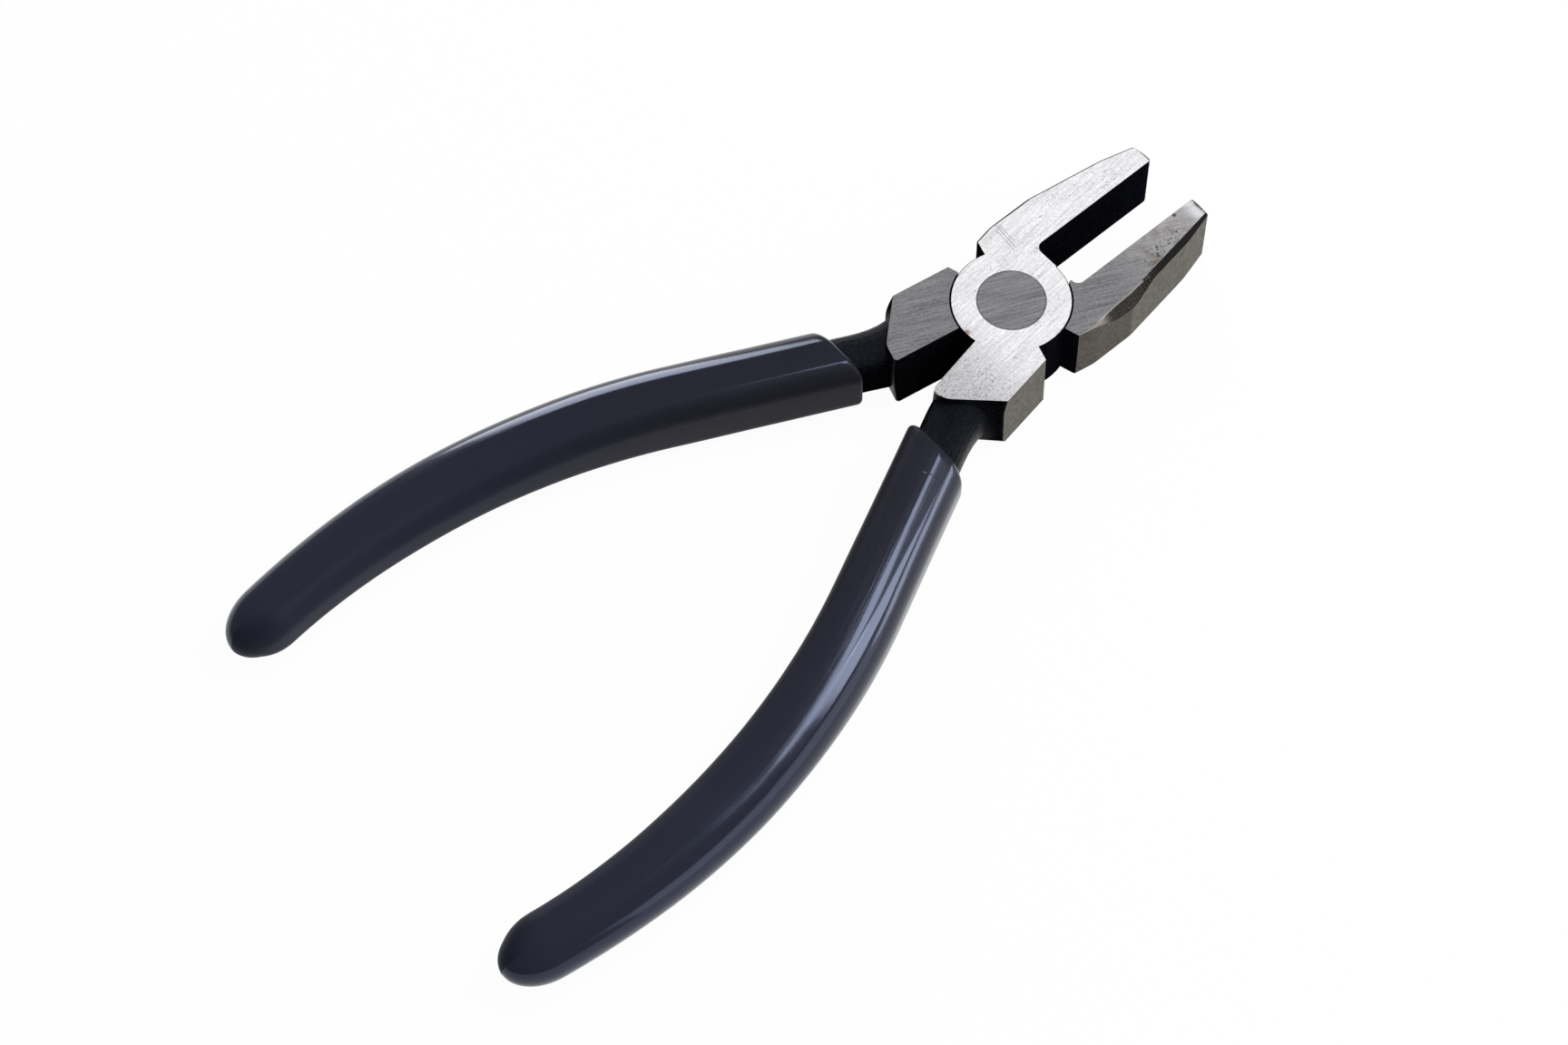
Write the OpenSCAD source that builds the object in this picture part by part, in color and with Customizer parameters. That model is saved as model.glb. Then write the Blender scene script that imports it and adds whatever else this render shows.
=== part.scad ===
// Glass breaking pliers: two forged halves that lap at a flush rivet, with dipped grips.
// The rivet axis is Z, the jaws point along +X, and the underside of the head is Z = 0.
// The halves stand as in the hand, half open, with the two jaw faces parallel.
// A half is drawn once, with its eye in the upper half of the head, its jaw above the
// centre line and its handle below it. The back half is the same forging turned over.

/* [Head] */
// Thickness of the head at the jaws, eyes and shoulders
head_thickness = 10.3; // [9:0.1:12]
// Diameter of the round eye of each half
eye_diameter = 17.3; // [16:0.1:18.5]
// Gap round an eye, in the recess of the other half that it turns in
recess_clearance = 0.15; // [0.1:0.05:0.3]
// Gap between the two eyes where they lap
lap_clearance = 0.05; // [0.02:0.01:0.15]
// Chamfer that breaks the rim of each eye
eye_break = 0.15; // [0.05:0.05:0.4]
// Angle from the cross line through the rivet to each of the four stop faces
stop_angle = 16.4; // [15.5:0.1:20]

/* [Rivet] */
// Diameter of the rivet's shank
shank_diameter = 7; // [5:0.1:8]
// Diameter of the rivet where it is ground flush with the head
rivet_diameter = 10; // [9:0.1:12]
// Depth of the countersink in each face
countersink_depth = 1.5; // [1:0.1:2.5]
// Radial running clearance of the rivet in the back half
pivot_clearance = 0.05; // [0.02:0.01:0.1]

/* [Jaws] */
// Reach of the jaw tips from the rivet axis
jaw_reach = 31.3; // [29:0.1:36]
// Gap between the two parallel jaw faces
jaw_gap = 8.8; // [7:0.1:10]
// Height of the back of the jaw over the centre line
jaw_crest = 11.2; // [10.5:0.1:12.5]
// Drop of the back from there to the corner of its stop face
stop_drop = 0.55; // [0.2:0.05:1]
// Distance over which the back rises from that corner
crest_run = 3; // [2:0.1:4]
// Height of the jaw's outer corner at the tip, over the centre line
tip_height = 7.85; // [7:0.1:9]
// Distance of the tip's outer corner behind the end of the tip
tip_crown = 0.35; // [0.1:0.05:1]
// Distance from the rivet axis to the start of the long flat on the back of the jaw
flat_start = 13.4; // [12:0.1:16]
// Distance from the rivet axis to the end of that flat
flat_end = 25.8; // [22:0.1:28]
// Drop of the back over that flat
flat_drop = 1.95; // [1.5:0.05:2.3]
// Radius of the throat corner
throat_radius = 1.2; // [0.6:0.1:2]
// Width of the bevel on the far face of the jaw, along the long flat
bevel_width = 1.05; // [0.6:0.05:1.3]
// Width of that bevel at the tip
bevel_tip = 0.45; // [0.2:0.05:0.6]
// Chamfer along the back of the jaw on the eye's own face
back_break = 0.3; // [0.1:0.05:0.5]
// Chamfer across the tip on the far face of the jaw
tip_break = 0.45; // [0.2:0.05:0.8]

/* [Shoulders] */
// Angle between the shoulder's straight sides and the centre line
shoulder_angle = 9.7; // [8:0.1:12]
// Distance from the rivet axis to the inner side of the front half's shoulder
front_inner = 0.45; // [0.3:0.05:0.8]
// Distance from the rivet axis to the inner side of the back half's shoulder, on top
back_inner = 0; // [0:0.05:0.8]
// Lean of the back half's inner side, towards the centre line at the underside
back_lean = 0.65; // [0:0.05:0.7]
// Distance from the rivet axis to the ground flank of the front half, on top
front_flank = 9.8; // [9.5:0.1:10.8]
// Distance from the rivet axis to the ground flank of the back half, at the underside
back_flank = 9.15; // [9:0.05:10]
// Lean of each flank, outwards away from the face with the eye
flank_lean = 0.25; // [0:0.05:0.5]
// Distance along the shoulder from the rivet axis to the heel of the flank
heel_length = 13.5; // [12:0.1:15]
// Distance along the front half's shoulder from the rivet axis to its rear corner
front_length = 19; // [18:0.1:20]
// The same distance on the back half
back_length = 19.3; // [18:0.1:20]
// Radius of the rear corner of the front half's shoulder
front_corner = 1; // [0.3:0.1:2]
// Radius of the rear corner of the back half's shoulder
back_corner = 0.5; // [0.3:0.1:2]
// Distance out from the rivet axis to the corner that breaks the shoulder's rear edge
rear_break = 3; // [2.5:0.1:4]
// Swell of the rounded rear wall of the shoulder past its rear edge on top
rear_swell = 1.6; // [0:0.1:2]

/* [Handles] */
// Distance from the rivet axis to the mouth of each grip, along the centre line
mouth_reach = 23.3; // [22.5:0.1:26]
// Distance of the handle's axis from the centre line at that mouth
mouth_offset = 10.2; // [9.5:0.1:11]
// Angle between the handle and the centre line at the mouth
handle_angle = 26.2; // [22:0.1:28]
// Length of the handle from the mouth to the start of its bend
straight_run = 25.2; // [15:0.1:40]
// Radius of the handle's bend
bend_radius = 109; // [90:1:200]
// Length of the tang from the mouth of the grip to its end, along the handle
tang_length = 93; // [80:0.1:100]
// Width of the grip at its mouth
mouth_width = 10.1; // [9:0.1:11]
// Width of the grip where it swells under the palm
palm_width = 10.6; // [9.5:0.1:12]
// Width of the grip where its rounded end starts
end_width = 9.3; // [8.5:0.1:10.5]
// Thickness of the grip under the palm
palm_thickness = 8; // [7.5:0.1:9.5]
// Thickness of the grip near its closed end
end_thickness = 7.8; // [6.5:0.1:8.5]

/* [Grips] */
// Thickness of the dipped coating on the sides of the tang
coating = 1.4; // [1.2:0.1:2]
// Thickness of the coating over the end of the front half's tang
front_end_coating = 5.6; // [3:0.1:7]
// Thickness of the coating over the end of the back half's tang
back_end_coating = 3.3; // [3:0.1:7]
// Radius along the inner edges of the grip
inner_edge = 2.8; // [2.2:0.1:3.2]
// Radius along its outer edges, which lie in the palm
palm_edge = 4.2; // [3:0.1:4.6]
// Radius of the lip at the mouth of the grip
lip_radius = 1; // [0.4:0.1:1.1]

/* [Hidden] */

$fn = 96;
mid_height = head_thickness / 2;
eye_radius = eye_diameter / 2;
recess_radius = eye_radius + recess_clearance;
lap_height = mid_height + lap_clearance / 2;
jaw_face = jaw_gap / 2;
tool_margin = 1;
arc_step = 12;

// Slope of the far bevel: steep where the long flat starts, and almost level at both ends
bevel_steep = 2.6;
bevel_level = 0.25;
bevel_reach = 3;

// Radii along the back of the jaw and round its tip
crest_round = 9;
flat_start_round = 5;
flat_end_round = 18;
tip_round = 5;
tip_swell = 0.4;
small_round = 0.3;

// Rounded rear wall of the shoulder: the height of its swell, and the swell's share further in
swell_height = 0.42;
break_swell = 0.45;
corner_swell = 0.2;
break_setback = 0.5;
break_round = 2.5;
shoulder_slices = 14;
slice_height = 0.01;

// Where the grip's width and thickness change: start and run, as shares of the tang's length
width_swell = [0.1, 0.45];
width_taper = [0.6, 0.4];
thickness_fall = [0.18, 0.5];
thickness_taper = [0.55, 0.4];

// Neck: the start of its sides inside the shoulder, the bow after it, and the run up to the grip
neck_outer_start = [-0.6, -0.9];
neck_outer_bow = [3.4, -2.65];
neck_outer_run = 4.9;
neck_inner_start = [-1.6, 0.5];
neck_inner_bow = [-0.3, -0.1];
neck_inner_run = 2.8;
neck_drop = 0.2;

// Points round each section of the tang and grip, and rings along them
corner_points = 6;
section_points = 4 * corner_points;
neck_rings = 8;
tang_rings = 10;
grip_rings = 18;
cap_rings = 6;
cap_stretch = 1.5;
cap_edge = 0.95;
lip_rings = 3;

// Plain helpers
function unit(v) = v / norm(v);
function mix(a, b, t) = a + (b - a) * t;
function clamp(t) = min(1, max(0, t));
function ease(t) = let (c = clamp(t)) c * c * (3 - 2 * c);
function spin(v, a) = [v.x * cos(a) - v.y * sin(a), v.x * sin(a) + v.y * cos(a)];
function flat_point(p) = [p[0], p[1]];
function bezier(p, t) =
    p[0] * pow(1 - t, 3) + 3 * p[1] * t * pow(1 - t, 2) + 3 * p[2] * pow(t, 2) * (1 - t) + p[3] * pow(t, 3);

// Arc of radius r that rounds the corner b between its neighbours a and c
function corner_arc(a, b, c, r) =
    let (
        to_a = unit(a - b),
        to_c = unit(c - b),
        half = acos(to_a * to_c) / 2,
        centre = b + unit(to_a + to_c) * r / sin(half),
        start = b + to_a * r / tan(half) - centre,
        finish = b + to_c * r / tan(half) - centre,
        side = cross(start, finish) > 0 ? 1 : -1,
        sweep = side * (180 - 2 * half),
        steps = max(2, ceil(abs(sweep) / arc_step))
    )
    [for (i = [0:steps]) centre + spin(start, sweep * i / steps)];

// Outline with each corner [x, y, radius] rounded; a radius of 0 keeps it sharp
function rounded(path) =
    let (n = len(path))
    [for (i = [0:n - 1])
        let (
            before = flat_point(path[(i + n - 1) % n]),
            here = flat_point(path[i]),
            after = flat_point(path[(i + 1) % n])
        )
        each (path[i][2] > 0 ? corner_arc(before, here, after, path[i][2]) : [here])];

// Back of the jaw, from its stop face to the tip
stop_height = jaw_crest - stop_drop;
stop_corner = [stop_height * tan(stop_angle), stop_height];
crest_start = stop_corner.x + crest_run;
jaw_back = [
    [stop_corner.x, stop_corner.y, 0],
    [crest_start, jaw_crest, crest_round],
    [flat_start, jaw_crest, flat_start_round],
    [flat_end, jaw_crest - flat_drop, flat_end_round],
    [jaw_reach - tip_crown, tip_height, small_round]
];

// Whole plan of the jaw: the back, the rounded tip, the jaw face, the throat and the eye's middle
jaw_plan = rounded(concat(
    jaw_back,
    [
        [jaw_reach, (tip_height + jaw_face) / 2 - tip_swell, tip_round],
        [jaw_reach, jaw_face, small_round],
        [eye_radius, jaw_face, throat_radius],
        [eye_radius, 0, 0],
        [0, 0, 0]
    ]
));

// Plan point of the shoulder, from its length along and its distance out from the rivet axis
function on_shoulder(along, out) = spin([-along, -out], shoulder_angle);

function shoulder_plan(flank, inner, length, corner, swell) = rounded([
    [0, 0, 0],
    concat(on_shoulder(flank * tan(stop_angle + shoulder_angle), flank), [0]),
    concat(on_shoulder(heel_length + swell, flank), [0]),
    concat(on_shoulder(length - break_setback + swell * break_swell, rear_break), [break_round]),
    concat(on_shoulder(length + swell * corner_swell, inner), [corner]),
    concat(on_shoulder(0, inner), [0])
]);

// Swell of the rear wall at the height u, from 0 at the far face to 1 at the face with the eye
function swell_at(u) =
    rear_swell * (u < swell_height
        ? 1 - 0.8 * pow((swell_height - u) / swell_height, 2)
        : 1 - pow((u - swell_height) / (1 - swell_height), 1.5));

// Handle axis: straight from the mouth, then one long arc
function heading(s) = handle_angle - max(0, s - straight_run) / bend_radius * 180 / PI;
function along_dir(a) = [-cos(a), -sin(a)];
function out_dir(a) = [sin(a), -cos(a)];
mouth = [-mouth_reach, -mouth_offset];
bend_start = mouth + straight_run * along_dir(handle_angle);
bend_centre = bend_start - bend_radius * out_dir(handle_angle);
function handle_axis(s) =
    s < straight_run
        ? mouth + s * along_dir(handle_angle)
        : bend_centre + bend_radius * out_dir(heading(s));

// Half width and half thickness of the grip at the distance s from its mouth
function change(s, run) = ease((s / tang_length - run[0]) / run[1]);
function grip_half_width(s) =
    mix(mix(mouth_width, palm_width, change(s, width_swell)), end_width, change(s, width_taper)) / 2;
function grip_half_thickness(s) =
    mix(
        mix(head_thickness, palm_thickness, change(s, thickness_fall)),
        end_thickness,
        change(s, thickness_taper)
    ) / 2;

// Section of a grip or tang at an inset from the grip's surface, as [across, up] points:
// a rectangle with rounded edges, the outer ones rounder than the inner ones
edge_inset = 0.8;
flat_share = 0.02;
function section(half_width, half_thickness, inset) =
    [for (side = [0:3])
        let (
            out = side == 0 || side == 3,
            edge = (out ? palm_edge : inner_edge) - inset * edge_inset,
            r = min(edge, (1 - flat_share) * min(half_width, half_thickness)),
            across = (half_width - r) * (out ? 1 : -1),
            up = (half_thickness - r) * (side < 2 ? 1 : -1)
        )
        for (i = [0:corner_points - 1])
            let (a = side * 90 + i * 90 / (corner_points - 1))
            [across + r * cos(a), up + r * sin(a)]];

// Across the mouth the rings lie square to the centre line, and further on square to the handle
square_run = 16;
function across_dir(s) =
    out_dir(heading(s)) + tan(handle_angle) * (1 - ease(s / square_run)) * along_dir(heading(s));

// Ring of points in space at the distance s, inset from the grip's own surface
function handle_ring(s, inset, width_share, thickness_cut) =
    let (
        half_width = (grip_half_width(s) - inset) * width_share,
        half_thickness = grip_half_thickness(s) - inset - thickness_cut,
        centre = handle_axis(s),
        across = across_dir(s)
    )
    [for (p = section(half_width, half_thickness, inset))
        let (plan = centre + across * p[0])
        [plan.x, plan.y, mid_height + p[1]]];

// Rings of the rounded end: half an ellipse in plan, with its top and bottom rounded over
function cap_length(finish, inset) = cap_stretch * (grip_half_width(finish) - inset);
function cap_ring_set(finish, inset) =
    let (edge = cap_edge * (grip_half_thickness(finish) - inset))
    [for (i = [1:cap_rings])
        let (
            a = 90 * (1 - i / (cap_rings + 0.15)),
            left = cap_length(finish, inset) * (1 - cos(a)),
            cut = edge * (1 - sqrt(1 - pow(max(0, 1 - left / cap_length(finish, inset)), 2)))
        )
        handle_ring(finish - left, inset, sin(a), cut)];

// Rings of the neck, from inside the shoulder to the mouth of the grip
tang_half_width = mouth_width / 2 - coating;
tang_half_thickness = head_thickness / 2 - coating;
mouth_spread = [0, tang_half_width / cos(handle_angle)];
neck_outer = [
    on_shoulder(heel_length + neck_outer_start[0], front_flank + neck_outer_start[1]),
    on_shoulder(heel_length + neck_outer_bow[0], front_flank + neck_outer_bow[1]),
    mouth - mouth_spread - neck_outer_run * along_dir(handle_angle),
    mouth - mouth_spread
];
neck_inner = [
    on_shoulder(front_length + neck_inner_start[0], front_inner + neck_inner_start[1]),
    on_shoulder(front_length + neck_inner_bow[0], front_inner + neck_inner_bow[1]),
    mouth + mouth_spread - neck_inner_run * along_dir(handle_angle),
    mouth + mouth_spread
];
neck_start_thickness = mid_height - neck_drop;
function neck_ring(t) =
    let (
        outer = bezier(neck_outer, t),
        inner = bezier(neck_inner, t),
        centre = (outer + inner) / 2,
        half = norm(outer - inner) / 2,
        thick = mix(tang_half_thickness, neck_start_thickness, pow(1 - t, 3))
    )
    [for (p = section(half, thick, coating))
        let (plan = centre + (outer - inner) / 2 * p[0] / half)
        [plan.x, plan.y, mid_height + p[1]]];

tang_cap_start = tang_length - cap_length(tang_length, coating);
covered_tang_rings = concat(
    [for (i = [0:tang_rings - 1]) handle_ring(tang_cap_start * i / (tang_rings - 1), coating, 1, 0)],
    cap_ring_set(tang_length, coating)
);
tang_ring_set = concat([for (i = [0:neck_rings - 1]) neck_ring(i / neck_rings)], covered_tang_rings);

// Rings of a grip of the given length: the rounded lip, the sides and the rounded end
function grip_ring_set(length) =
    let (cap_start = length - cap_length(length, 0))
    concat(
        [for (i = [0:lip_rings - 1])
            let (a = 90 * i / lip_rings)
            handle_ring(lip_radius * (1 - cos(a)), lip_radius * (1 - sin(a)), 1, 0)],
        [for (i = [0:grip_rings - 1])
            handle_ring(mix(lip_radius, cap_start, i / (grip_rings - 1)), 0, 1, 0)],
        cap_ring_set(length, 0)
    );

// Triangles between two rings that start at the point numbers a and b
function band(a, b) =
    [for (i = [0:section_points - 1])
        let (j = (i + 1) % section_points)
        each [[a + i, b + i, b + j], [a + i, b + j, a + j]]];
function skin(first, rings) =
    [for (k = [0:rings - 2])
        each band(first + k * section_points, first + (k + 1) * section_points)];
function lid(first) = [for (i = [1:section_points - 2]) [first, first + i, first + i + 1]];
function turned(faces) = [for (f = faces) [f[2], f[1], f[0]]];
function joined(rings) = [for (ring = rings) each ring];

// Wedge that bevels the edge along the back of the jaw on the face z = 0
module edge_bevel(path, widths, slopes) {
    n = len(path);
    points = [for (i = [0:n - 1])
        let (
            ahead = path[min(n - 1, i + 1)] - path[max(0, i - 1)],
            out = unit([-ahead.y, ahead.x]),
            inner = path[i] - out * widths[i],
            outer = path[i] + out * bevel_reach,
            drop = (bevel_reach + widths[i]) * slopes[i]
        )
        each [
            [inner.x, inner.y, 0],
            [outer.x, outer.y, drop],
            [outer.x, outer.y, -tool_margin],
            [inner.x, inner.y, -tool_margin]
        ]];
    sides = [for (k = [0:n - 2]) for (i = [0:3])
        let (a = 4 * k + i, b = 4 * k + (i + 1) % 4)
        each [[a, b, b + 4], [a, b + 4, a + 4]]];
    ends = [[0, 2, 1], [0, 3, 2], [4 * n - 4, 4 * n - 3, 4 * n - 2], [4 * n - 4, 4 * n - 2, 4 * n - 1]];
    polyhedron(points, concat(sides, ends));
}

// Back of the jaw as the bevel tools follow it, a little past both ends
bevel_stations = 60;
function back_height(x) =
    x < crest_start ? mix(stop_corner.y, jaw_crest, (x - stop_corner.x) / (crest_start - stop_corner.x))
    : x < flat_start ? jaw_crest
    : x < flat_end ? mix(jaw_crest, jaw_crest - flat_drop, (x - flat_start) / (flat_end - flat_start))
    : mix(jaw_crest - flat_drop, tip_height, (x - flat_end) / (jaw_reach - tip_crown - flat_end));

// The far bevel widens from the stop face to the long flat and narrows again over the tip
function far_bevel_width(x) =
    x < flat_start ? bevel_width * sin(90 * clamp((x - stop_corner.x) / (flat_start - stop_corner.x)))
    : mix(bevel_width, bevel_tip, clamp((x - flat_end) / (jaw_reach - flat_end)));
function far_bevel_slope(x) =
    let (rise = ease((x - crest_start + 1) / (flat_start - crest_start - 2)), fall = ease((x - flat_start) / 5))
    mix(bevel_level, bevel_steep, rise * (1 - fall));

module far_bevel() {
    reach = [stop_corner.x - tool_margin, jaw_reach + tool_margin];
    stations = [for (i = [0:bevel_stations]) mix(reach[0], reach[1], i / bevel_stations)];
    line = [for (x = stations) [x, back_height(x) - far_bevel_width(x)]];
    edge_bevel(line, [for (x = stations) 0], [for (x = stations) far_bevel_slope(x)]);
}

// The chamfer on the eye's own face follows the back at an even width
module near_bevel() {
    stations = [stop_corner.x - 1, crest_start, flat_start, flat_end, jaw_reach + 1];
    line = [for (x = stations) [x, back_height(x)]];
    translate([0, 0, head_thickness])
        mirror([0, 0, 1])
            edge_bevel(line, [for (x = stations) back_break], [for (x = stations) 1]);
}

// Flat ground across the corner of the tip on the far face
module far_tip_break() {
    translate([jaw_reach - tip_break, 0, 0])
        rotate([0, 45, 0])
            translate([0, -tool_margin, -jaw_crest])
                cube(jaw_crest + 2 * tool_margin);
}

// Body of revolution of the rivet, grown by a clearance; its ends stay flush
module rivet_body(clearance) {
    face = rivet_diameter / 2 + clearance;
    shank = shank_diameter / 2 + clearance;
    rotate_extrude()
        polygon([
            [0, 0],
            [face, 0],
            [shank, countersink_depth],
            [shank, head_thickness - countersink_depth],
            [face, head_thickness],
            [0, head_thickness]
        ]);
}

module eye() {
    translate([0, 0, lap_height])
        cylinder(h = head_thickness - lap_height - eye_break, r = eye_radius);
    translate([0, 0, head_thickness - eye_break])
        cylinder(h = eye_break, r1 = eye_radius, r2 = eye_radius - eye_break);
}

module jaw() {
    difference() {
        linear_extrude(head_thickness) polygon(jaw_plan);
        far_bevel();
        near_bevel();
        far_tip_break();
        translate([eye_radius - tool_margin, 0, -tool_margin])
            cube([2 * tool_margin, jaw_face - throat_radius - 0.1, lap_height + tool_margin]);
    }
}

// Shoulder in level slices, with its flank, its inner side and that side's lean
module shoulder(flank, inner, length, corner, lean) {
    hull()
        for (i = [0:shoulder_slices]) {
            u = i / shoulder_slices;
            translate([0, 0, u * (head_thickness - slice_height)])
                linear_extrude(slice_height)
                    polygon(shoulder_plan(
                        flank + flank_lean * (1 - u),
                        inner - lean * u,
                        length,
                        corner,
                        swell_at(u)
                    ));
        }
}

module tang() {
    last = len(tang_ring_set) - 1;
    polyhedron(
        joined(tang_ring_set),
        concat(lid(0), skin(0, last + 1), turned(lid(last * section_points)))
    );
}

// One forged half, with its eye up; the hole takes the rivet with the given clearance
module half(clearance, flank, inner, length, corner, lean) {
    difference() {
        union() {
            eye();
            jaw();
            shoulder(flank, inner, length, corner, lean);
            tang();
        }
        translate([0, 0, -tool_margin])
            cylinder(h = lap_height + tool_margin, r = recess_radius);
        rivet_body(clearance);
    }
}

// Dipped grip over the tang of a half, with the tang's own surface inside
module grip(end_coating) {
    outer_rings = grip_ring_set(tang_length + end_coating);
    outer_count = len(outer_rings);
    inner_count = len(covered_tang_rings);
    inner_first = outer_count * section_points;
    polyhedron(
        concat(joined(outer_rings), joined(covered_tang_rings)),
        concat(
            skin(0, outer_count),
            turned(lid((outer_count - 1) * section_points)),
            turned(skin(inner_first, inner_count)),
            lid(inner_first + (inner_count - 1) * section_points),
            turned(band(0, inner_first))
        )
    );
}

// Turns a piece of one half over, about the centre line at mid height
module turned_over() {
    translate([0, 0, head_thickness])
        rotate([180, 0, 0])
            children();
}

module front_half() {
    color("silver") half(0, front_flank, front_inner, front_length, front_corner, 0);
}

module back_half() {
    color("darkgray")
        turned_over()
            half(pivot_clearance, back_flank, back_inner, back_length, back_corner, back_lean);
}

module joint_rivet() {
    color("dimgray") rivet_body(0);
}

module front_half_grip() {
    color([0.13, 0.14, 0.19]) grip(front_end_coating);
}

module back_half_grip() {
    color([0.13, 0.14, 0.19]) turned_over() grip(back_end_coating);
}

front_half();
back_half();
joint_rivet();
front_half_grip();
back_half_grip();
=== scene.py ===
"""Looks of the glass breaking pliers: forged steel, dipped grips, floor, lamps and camera."""
import math
from types import SimpleNamespace

import bmesh
import bpy
from mathutils import Matrix, Vector, noise


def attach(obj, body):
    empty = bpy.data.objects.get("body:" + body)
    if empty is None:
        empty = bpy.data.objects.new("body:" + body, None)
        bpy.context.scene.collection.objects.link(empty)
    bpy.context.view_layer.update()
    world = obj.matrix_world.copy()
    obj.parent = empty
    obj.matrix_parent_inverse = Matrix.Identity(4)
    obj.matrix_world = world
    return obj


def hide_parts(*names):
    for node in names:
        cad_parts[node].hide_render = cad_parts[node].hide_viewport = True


MM = 0.001

# Sizes of the head in millimetres and degrees, as the solids have them
HEAD = 10.3
RIVET_RADIUS = 5.0
JAW_REACH = 31.3
JAW_CREST = 11.2
FLAT_START, FLAT_END = 13.4, 25.8
FLAT_END_HEIGHT = 9.25
SHOULDER_ANGLE = 9.7
HEEL_LENGTH = 13.5

# Sizes of a handle and its grip
MOUTH = (-23.3, -10.2)
HANDLE_ANGLE = 26.2
STRAIGHT_RUN = 25.2
BEND_RADIUS = 109.0
SQUARE_RUN = 16.0
TANG_LENGTH = 93.0
MOUTH_WIDTH, PALM_WIDTH, END_WIDTH = 10.1, 10.6, 9.3
PALM_THICKNESS, END_THICKNESS = 8.0, 7.8
COATING = 1.4
FRONT_END_COATING, BACK_END_COATING = 5.6, 3.3
INNER_EDGE, PALM_EDGE = 2.8, 4.2
LIP_RADIUS = 1.0
CAP_STRETCH = 1.5
CAP_EDGE = 0.95

# Where the grip changes: start and run of each change, as shares of the tang's length
SWELLING, NARROWING = (0.1, 0.45), (0.6, 0.4)
THINNING, LAST_THINNING = (0.18, 0.5), (0.55, 0.4)


# ---------------------------------------------------------------- shader maths
class Field:
    """A socket's value that varies over a surface; expressions on it add the Math nodes."""

    def __init__(self, finish, socket):
        self.finish = finish
        self.socket = socket

    def math(self, operation, *others):
        settings = {"operation": operation}
        return self.finish.add("ShaderNodeMath", settings, dict(enumerate((self,) + others)))

    def __add__(self, other):
        return self.math("ADD", other)

    def __radd__(self, other):
        return self.math("ADD", other)

    def __mul__(self, other):
        return self.math("MULTIPLY", other)

    def __rmul__(self, other):
        return self.math("MULTIPLY", other)

    def __sub__(self, other):
        return self.math("SUBTRACT", other)

    def __rsub__(self, other):
        return self.finish.add("ShaderNodeMath", {"operation": "SUBTRACT"}, {0: other, 1: self})

    def __neg__(self):
        return self.math("MULTIPLY", -1.0)

    def __abs__(self):
        return self.math("ABSOLUTE")

    def power(self, exponent):
        return self.math("POWER", exponent)

    def least(self, other):
        return self.math("MINIMUM", other)

    def most(self, other):
        return self.math("MAXIMUM", other)

    def clamped(self):
        return self.finish.add("ShaderNodeClamp", {}, {"Value": self})

    def rise(self, low, high):
        """0 below low, 1 above high and a smooth step between; high may be the lower one."""
        settings = {"interpolation_type": "SMOOTHSTEP"}
        values = {"Value": self, "From Min": min(low, high), "From Max": max(low, high)}
        step = self.finish.add("ShaderNodeMapRange", settings, values)
        return step if high > low else 1 - step


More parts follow.
